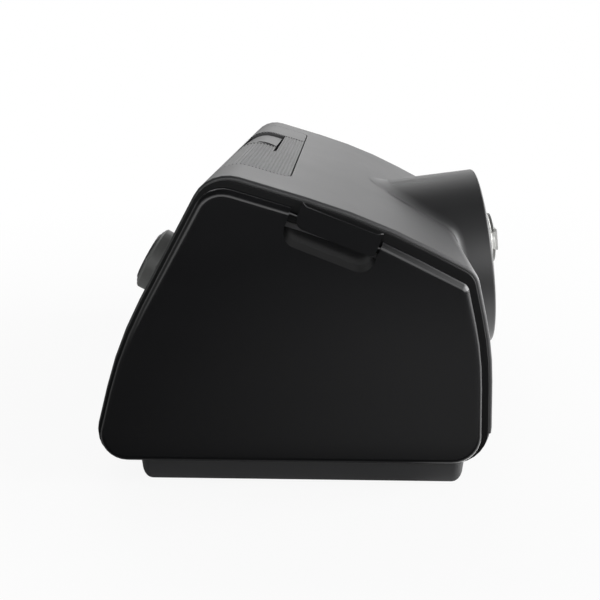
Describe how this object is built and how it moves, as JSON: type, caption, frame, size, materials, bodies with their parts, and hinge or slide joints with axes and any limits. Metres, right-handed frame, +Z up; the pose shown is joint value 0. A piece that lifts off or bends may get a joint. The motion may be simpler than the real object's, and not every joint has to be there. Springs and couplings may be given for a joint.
{
  "type": "cpap machine",
  "caption": "Bench-top breathing machine with a round control pod and knob, ribbed filter cap, rear hose outlet and a clip-off side cover over its humidifier dock.",
  "frame": {"origin": "centre of the footprint, on the surface that the rubber feet stand on", "axes": "+X along the width, from the dock end with its side cover to the card door end; +Y to the rear, where the hose outlet is; +Z up"},
  "size_m": [0.2056, 0.1536, 0.1085],
  "materials": {
    "shell": "fine matte texture, near black",
    "cover": "satin near black",
    "inner_plastic": "plain moulded dark grey",
    "light_plastic": "satin silver grey",
    "duct_plastic": "plain moulded off-white",
    "grey_rubber": "matte mid grey",
    "dark_rubber": "matte black",
    "silicone": "translucent pale grey",
    "steel": "brushed",
    "board": "green solder mask",
    "foam": "white felted foam",
    "window": "dark gloss"
  },
  "bodies": {
    "housing": {"top_shell": "shell", "base_tray": "shell", "foot_near_rear": "dark_rubber", "foot_near_front": "dark_rubber", "foot_far_rear": "dark_rubber", "foot_far_front": "dark_rubber", "case_screw_1": "steel", "case_screw_2": "steel", "case_screw_3": "steel", "case_screw_4": "steel", "end_wall": "shell", "card_reader": "steel", "dock_frame": "cover", "dock_bay": "inner_plastic", "blower_port_seal": "silicone", "outlet_port_seal": "silicone", "heater_plate": "steel", "outlet_elbow": "duct_plastic", "outlet_nozzle": "inner_plastic", "outlet_collar": "grey_rubber", "filter_tray": "inner_plastic", "filter_foam": "foam", "inlet_duct": "duct_plastic", "blower_lower": "duct_plastic", "blower_upper": "duct_plastic", "motor_can": "steel", "blower_mount_1": "silicone", "blower_mount_2": "silicone", "blower_mount_3": "silicone", "outlet_cuff": "silicone", "main_board": "board", "pressure_sensor": "inner_plastic", "sensor_hose": "silicone", "power_socket": "inner_plastic", "power_pin": "steel", "pod_bezel": "inner_plastic", "display_window": "window", "display_module": "window", "display_board": "board", "encoder": "steel"},
    "encoder_shaft": {"encoder_shaft": "steel"},
    "knob": {"knob": "light_plastic"},
    "home_button": {"home_button": "light_plastic"},
    "start_button": {"start_button": "light_plastic"},
    "side_cover": {"side_cover": "cover", "bypass_duct": "inner_plastic", "latch_pin": "cover"},
    "latch_tab": {"latch_tab": "cover"},
    "filter_cap": {"filter_cap": "shell"},
    "card_door": {"card_door": "shell"},
    "impeller": {"impeller": "duct_plastic", "motor_shaft": "steel"}
  },
  "joints": [
    {"name": "impeller_spin", "type": "hinge", "parent": "housing", "child": "impeller", "pos_m": [0.04525, 0.02261, 0.038], "axis": [0, 0, 1], "continuous": true},
    {"name": "knob_press", "type": "slide", "parent": "housing", "child": "encoder_shaft", "axis": [0, 0.9925, -0.1219], "range_m": [0, 0.0006], "stiffness_N_per_m": 400},
    {"name": "knob_turn", "type": "hinge", "parent": "encoder_shaft", "child": "knob", "pos_m": [-0.01795, -0.07082, 0.07041], "axis": [0, -0.9925, 0.1219], "continuous": true},
    {"name": "home_press", "type": "slide", "parent": "housing", "child": "home_button", "axis": [0, 0.9925, -0.1219], "range_m": [0, 0.0009], "stiffness_N_per_m": 300},
    {"name": "start_press", "type": "slide", "parent": "housing", "child": "start_button", "axis": [0, 0.9925, -0.1219], "range_m": [0, 0.0009], "stiffness_N_per_m": 300},
    {"name": "side_cover_off", "type": "slide", "parent": "housing", "child": "side_cover", "axis": [-1, 0, 0], "range_m": [0, 0.08]},
    {"name": "latch_lift", "type": "hinge", "parent": "side_cover", "child": "latch_tab", "pos_m": [-0.10055, -0.00976, 0.09087], "axis": [0, 0.9279, 0.3728], "range_deg": [0, 20], "stiffness_Nm_per_rad": 0.02},
    {"name": "filter_cap_open", "type": "hinge", "parent": "housing", "child": "filter_cap", "pos_m": [0.00025, 0.04656, 0.08449], "axis": [-1, 0, 0], "range_deg": [0, 70]},
    {"name": "card_door_open", "type": "hinge", "parent": "housing", "child": "card_door", "pos_m": [0.10115, -0.02249, 0.0272], "axis": [0, 1, 0], "range_deg": [0, 90]}
  ]
}
